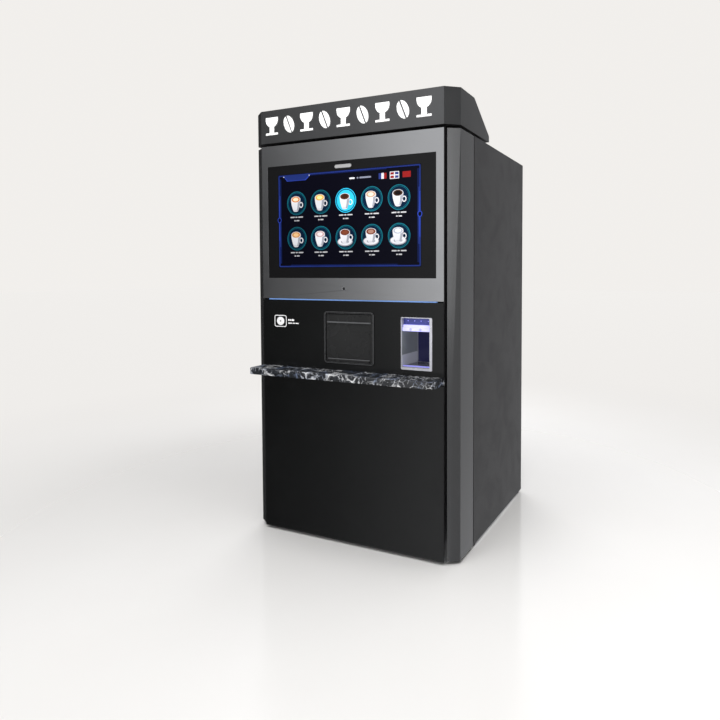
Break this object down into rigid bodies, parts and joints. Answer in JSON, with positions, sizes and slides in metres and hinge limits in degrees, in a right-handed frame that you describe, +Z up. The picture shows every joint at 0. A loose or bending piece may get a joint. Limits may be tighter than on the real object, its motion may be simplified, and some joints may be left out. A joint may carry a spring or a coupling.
{
  "type": "hot coffee vending machine",
  "caption": "Floor-standing hot coffee vending machine with a full-height hinged door, large screen, cup hatch, side bay and stone shelf.",
  "frame": {"origin": "floor level under the centre of the bounding box", "axes": "+Z up, +X to the right seen from the front, the front faces -Y"},
  "size_m": [1.006, 1.022, 1.9],
  "materials": {
    "powder_black": "fine textured black powder coat",
    "graphite_steel": "vertical brushed, dark tinted",
    "black_panel": "deep black gloss",
    "touch_glass": "black bordered touch glass",
    "screen": "flat display",
    "stone": "polished black marble with pale veins",
    "white_sign": "opal white",
    "pale_spacer": "moulded",
    "light_blue": "lit diffuser strip",
    "smoked": "smoked black",
    "bay_white": "moulded white",
    "stainless": "satin stainless",
    "zinc": "zinc plated sheet",
    "chrome": "polished",
    "rubber_black": "moulded",
    "clear_plastic": "tinted transparent hopper",
    "canister": "translucent white",
    "black_plastic": "moulded",
    "grey_plastic": "moulded",
    "silicone": "milky silicone",
    "bottle": "blue tinted bottle",
    "brass": "machined",
    "copper_boiler": "spun stainless"
  },
  "bodies": {
    "cabinet": {"left_side_panel": "powder_black", "right_side_panel": "powder_black", "roof_panel": "powder_black", "base_pan": "zinc", "back_panel": "powder_black", "levelling_feet": "rubber_black", "header_housing": "powder_black", "header_floor": "powder_black", "header_spacers": "pale_spacer", "header_sign": "white_sign", "latch_studs": "stainless", "hinge_brackets": "stainless", "machine_deck": "stainless", "upper_shelf": "stainless", "cup_dropper": "black_plastic", "carrier_rail": "stainless", "powder_canisters": "canister", "mixing_bowls": "clear_plastic", "whipper_motors": "grey_plastic", "bean_hoppers": "clear_plastic", "grinders": "black_plastic", "brewer_body": "black_plastic", "boiler": "copper_boiler", "water_pump": "brass", "water_hoses": "silicone", "water_bottles": "bottle", "control_box": "zinc", "power_supply": "zinc", "fan_frame": "black_plastic", "mains_inlet": "black_plastic", "water_inlet": "brass"},
    "door": {"door_pan": "powder_black", "column_left": "graphite_steel", "column_right": "graphite_steel", "steel_bezel": "graphite_steel", "display_glass": "touch_glass", "sensor_window": "chrome", "display_module": "screen", "middle_panel": "black_panel", "lower_panel": "black_panel", "light_strip": "light_blue", "marble_shelf": "stone", "shelf_bracket": "zinc", "hatch_frame": "smoked", "hatch_pin": "stainless", "bay_liner": "bay_white", "bay_nozzle": "bay_white", "bay_drip_grid": "stainless", "scanner_window": "touch_glass", "door_pivots": "stainless"},
    "flap": {"hatch_flap": "smoked"},
    "lock": {"lock_cylinder": "chrome"},
    "latch": {"latch_bar": "zinc"},
    "left_lid": {"hopper_lid_left": "smoked"},
    "right_lid": {"hopper_lid_right": "smoked"},
    "piston": {"brewer_piston": "stainless"},
    "carousel": {"cup_turret": "canister"},
    "carrier": {"cup_carrier": "black_plastic"},
    "bin": {"waste_bin": "black_plastic"},
    "fan": {"fan_rotor": "black_plastic"}
  },
  "joints": [
    {"name": "door_hinge", "type": "hinge", "parent": "cabinet", "child": "door", "pos_m": [-0.493, -0.228, 0.9], "axis": [0, 0, -1], "range_deg": [0, 110]},
    {"name": "flap_hinge", "type": "hinge", "parent": "door", "child": "flap", "pos_m": [0.0085, -0.4005, 0.997], "axis": [-1, 0, 0], "range_deg": [0, 75]},
    {"name": "lock_turn", "type": "hinge", "parent": "door", "child": "lock", "pos_m": [-0.016, -0.406, 1.109], "axis": [0, 1, 0], "range_deg": [0, 90]},
    {"name": "latch_slide", "type": "slide", "parent": "door", "child": "latch", "axis": [0, 0, -1], "range_m": [0, 0.02]},
    {"name": "left_lid_hinge", "type": "hinge", "parent": "cabinet", "child": "left_lid", "pos_m": [-0.0465, 0.04, 1.5025], "axis": [-1, 0, 0], "range_deg": [0, 60]},
    {"name": "right_lid_hinge", "type": "hinge", "parent": "cabinet", "child": "right_lid", "pos_m": [0.0635, 0.04, 1.5025], "axis": [-1, 0, 0], "range_deg": [0, 60]},
    {"name": "piston_slide", "type": "slide", "parent": "cabinet", "child": "piston", "axis": [0, 0, -1], "range_m": [0, 0.034]},
    {"name": "carousel_spin", "type": "hinge", "parent": "cabinet", "child": "carousel", "pos_m": [0.359, -0.053, 1.3], "axis": [0, 0, 1], "continuous": true},
    {"name": "carrier_slide", "type": "slide", "parent": "cabinet", "child": "carrier", "axis": [1, 0, 0], "range_m": [0, 0.3505]},
    {"name": "bin_slide", "type": "slide", "parent": "cabinet", "child": "bin", "axis": [0, -1, 0], "range_m": [0, 0.13]},
    {"name": "fan_spin", "type": "hinge", "parent": "cabinet", "child": "fan", "pos_m": [0.25, 0.497, 1.594], "axis": [0, 1, 0], "continuous": true}
  ],
  "couplings": [
    {"joint": "lock_turn", "follows": "latch_slide", "rad_per_m": 78.54}
  ]
}
